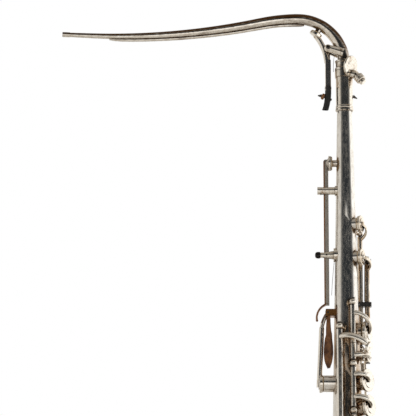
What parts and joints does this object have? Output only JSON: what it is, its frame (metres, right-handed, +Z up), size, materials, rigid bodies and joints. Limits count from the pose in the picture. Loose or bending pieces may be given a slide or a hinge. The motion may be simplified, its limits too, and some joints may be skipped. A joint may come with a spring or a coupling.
{
  "type": "double-reed saxophone-shaped horn",
  "caption": "Conical metal horn of baritone size with a swept crook for a double reed, straight body, bottom bow, upturned bell and sprung padded keys.",
  "frame": {"origin": "centre of the strap eye's hole, on the player's side of the body tube", "axes": "+Z up along the body tube, towards the crook; +X from the player's side towards the bell; Y across"},
  "size_m": [0.5166, 0.1648, 1.21],
  "materials": {
    "plated_tube": "worn nickel-silver plate on drawn brass tube",
    "plated_fittings": "worn plate on turned brass",
    "plated_keys": "worn plate on cast and filed brass",
    "steel": "blued and polished steel, dulled",
    "pad_leather": "tan kid leather over felt",
    "brown_leather": "brown hide, rubbed",
    "bare_brass": "brass with a brown tarnish",
    "black_rubber": "matt black rubber tube"
  },
  "bodies": {
    "body": {"body_tube": "plated_tube", "receiver": "plated_fittings", "receiver_clamp": "plated_fittings", "set_screw": "steel", "bottom_bow": "plated_tube", "bow_rings": "plated_fittings", "bow_guard": "plated_fittings", "bell": "plated_tube", "bell_rim_wire": "plated_tube", "bell_stay": "plated_fittings", "strap_eye": "plated_fittings", "thumb_hook": "plated_fittings", "thumb_leaf": "brown_leather", "thumb_bracket": "bare_brass", "vent_chimneys": "plated_tube", "tone_chimneys": "plated_tube", "side_key_saddles": "steel", "key_pillars": "plated_fittings", "pivot_rods": "steel", "key_springs": "steel"},
    "crook": {"crook_tube": "plated_tube", "reed_ferrule": "plated_tube", "crook_rib": "plated_tube", "crook_tenon": "plated_fittings", "crook_vent": "plated_tube", "crook_key_saddle": "plated_fittings", "crook_key_pivot": "steel", "crook_key_spring": "steel"},
    "crook_key": {"crook_key": "plated_keys", "crook_key_pad": "pad_leather", "tail_sleeve": "black_rubber", "regulating_screw": "steel", "leather_washer": "brown_leather"},
    "clamp_screw": {"clamp_screw": "plated_fittings"},
    "octave_lever": {"octave_lever": "plated_keys", "octave_pad": "pad_leather"},
    "thumb_key": {"thumb_key": "plated_keys", "thumb_key_pad": "pad_leather"},
    "upper_side_key": {"upper_side_key": "plated_keys", "upper_side_key_pad": "pad_leather"},
    "lower_side_key": {"lower_side_key": "plated_keys", "lower_side_key_pad": "pad_leather"},
    "first_stack_key": {"first_stack_key": "plated_keys", "first_stack_key_pad": "pad_leather"},
    "link_key": {"link_key": "plated_keys", "link_key_pad": "pad_leather"},
    "second_stack_key": {"second_stack_key": "plated_keys", "second_stack_key_pad": "pad_leather"},
    "third_stack_key": {"third_stack_key": "plated_keys", "third_stack_key_pad": "pad_leather"},
    "long_key": {"long_key": "plated_keys", "long_key_pad": "pad_leather"},
    "fourth_stack_key": {"fourth_stack_key": "plated_keys", "fourth_stack_key_pad": "pad_leather"},
    "fifth_stack_key": {"fifth_stack_key": "plated_keys", "fifth_stack_key_pad": "pad_leather"},
    "sixth_stack_key": {"sixth_stack_key": "plated_keys", "sixth_stack_key_pad": "pad_leather"},
    "bell_key": {"bell_key": "plated_keys", "bell_key_pad": "pad_leather"}
  },
  "joints": [
    {"name": "crook_swivel", "type": "hinge", "parent": "body", "child": "crook", "pos_m": [0.02442, 0, 0.4], "axis": [0, 0, 1], "range_deg": [-20, 20]},
    {"name": "crook_key_hinge", "type": "hinge", "parent": "crook", "child": "crook_key", "pos_m": [0.00712, 0, 0.4212], "axis": [0, -1, 0], "range_deg": [0, 3.5], "stiffness_Nm_per_rad": 0.12, "springref_deg": -20.05},
    {"name": "clamp_screw_turn", "type": "hinge", "parent": "body", "child": "clamp_screw", "pos_m": [0.03567, -0.0078, 0.3924], "axis": [0.6, -0.25, -0.76], "range_deg": [0, 540]},
    {"name": "octave_lever_hinge", "type": "hinge", "parent": "body", "child": "octave_lever", "pos_m": [0.00381, 0, 0.196], "axis": [0, -1, 0], "range_deg": [0, 1.6], "stiffness_Nm_per_rad": 0.3, "springref_deg": -20.05},
    {"name": "thumb_key_hinge", "type": "hinge", "parent": "body", "child": "thumb_key", "pos_m": [0.00455, 0, 0.1337], "axis": [0, 1, 0], "range_deg": [0, 3], "stiffness_Nm_per_rad": 0.1, "springref_deg": -20.05},
    {"name": "upper_side_key_hinge", "type": "hinge", "parent": "body", "child": "upper_side_key", "pos_m": [0.03985, 0.01304, 0.16], "axis": [0, 0, 1], "range_deg": [0, 9], "stiffness_Nm_per_rad": 0.05, "springref_deg": -20.05},
    {"name": "lower_side_key_hinge", "type": "hinge", "parent": "body", "child": "lower_side_key", "pos_m": [0.04705, 0.01304, 0.143], "axis": [0, 0, 1], "range_deg": [0, 7], "stiffness_Nm_per_rad": 0.05, "springref_deg": -20.05},
    {"name": "first_stack_key_hinge", "type": "hinge", "parent": "body", "child": "first_stack_key", "pos_m": [0.02998, -0.01991, 0.12], "axis": [0, 0, 1], "range_deg": [0, 10], "stiffness_Nm_per_rad": 0.05, "springref_deg": -20.05},
    {"name": "link_key_hinge", "type": "hinge", "parent": "body", "child": "link_key", "pos_m": [0.02998, -0.01991, 0.091], "axis": [0, 0, 1], "range_deg": [0, 10], "stiffness_Nm_per_rad": 0.05, "springref_deg": -20.05},
    {"name": "second_stack_key_hinge", "type": "hinge", "parent": "body", "child": "second_stack_key", "pos_m": [0.02998, -0.01991, 0.064], "axis": [0, 0, 1], "range_deg": [0, 10], "stiffness_Nm_per_rad": 0.05, "springref_deg": -20.05},
    {"name": "third_stack_key_hinge", "type": "hinge", "parent": "body", "child": "third_stack_key", "pos_m": [0.02998, -0.01991, 0.043], "axis": [0, 0, 1], "range_deg": [0, 10], "stiffness_Nm_per_rad": 0.05, "springref_deg": -20.05},
    {"name": "long_key_hinge", "type": "hinge", "parent": "body", "child": "long_key", "pos_m": [0.01584, -0.02123, 0.04], "axis": [0, 0, 1], "range_deg": [0, 5], "stiffness_Nm_per_rad": 0.05, "springref_deg": -20.05},
    {"name": "fourth_stack_key_hinge", "type": "hinge", "parent": "body", "child": "fourth_stack_key", "pos_m": [0.03019, -0.02939, -0.1], "axis": [0, 0, 1], "range_deg": [0, 10], "stiffness_Nm_per_rad": 0.05, "springref_deg": -20.05},
    {"name": "fifth_stack_key_hinge", "type": "hinge", "parent": "body", "child": "fifth_stack_key", "pos_m": [0.03019, -0.02939, -0.158], "axis": [0, 0, 1], "range_deg": [0, 10], "stiffness_Nm_per_rad": 0.05, "springref_deg": -20.05},
    {"name": "sixth_stack_key_hinge", "type": "hinge", "parent": "body", "child": "sixth_stack_key", "pos_m": [0.03019, -0.02939, -0.216], "axis": [0, 0, 1], "range_deg": [0, 10], "stiffness_Nm_per_rad": 0.05, "springref_deg": -20.05},
    {"name": "bell_key_hinge", "type": "hinge", "parent": "body", "child": "bell_key", "pos_m": [0.12606, -0.03817, -0.38], "axis": [0, 0, -1], "range_deg": [0, 8], "stiffness_Nm_per_rad": 0.2, "springref_deg": -20.05}
  ],
  "couplings": [
    {"joint": "link_key_hinge", "follows": "first_stack_key_hinge", "ratio": 1}
  ]
}
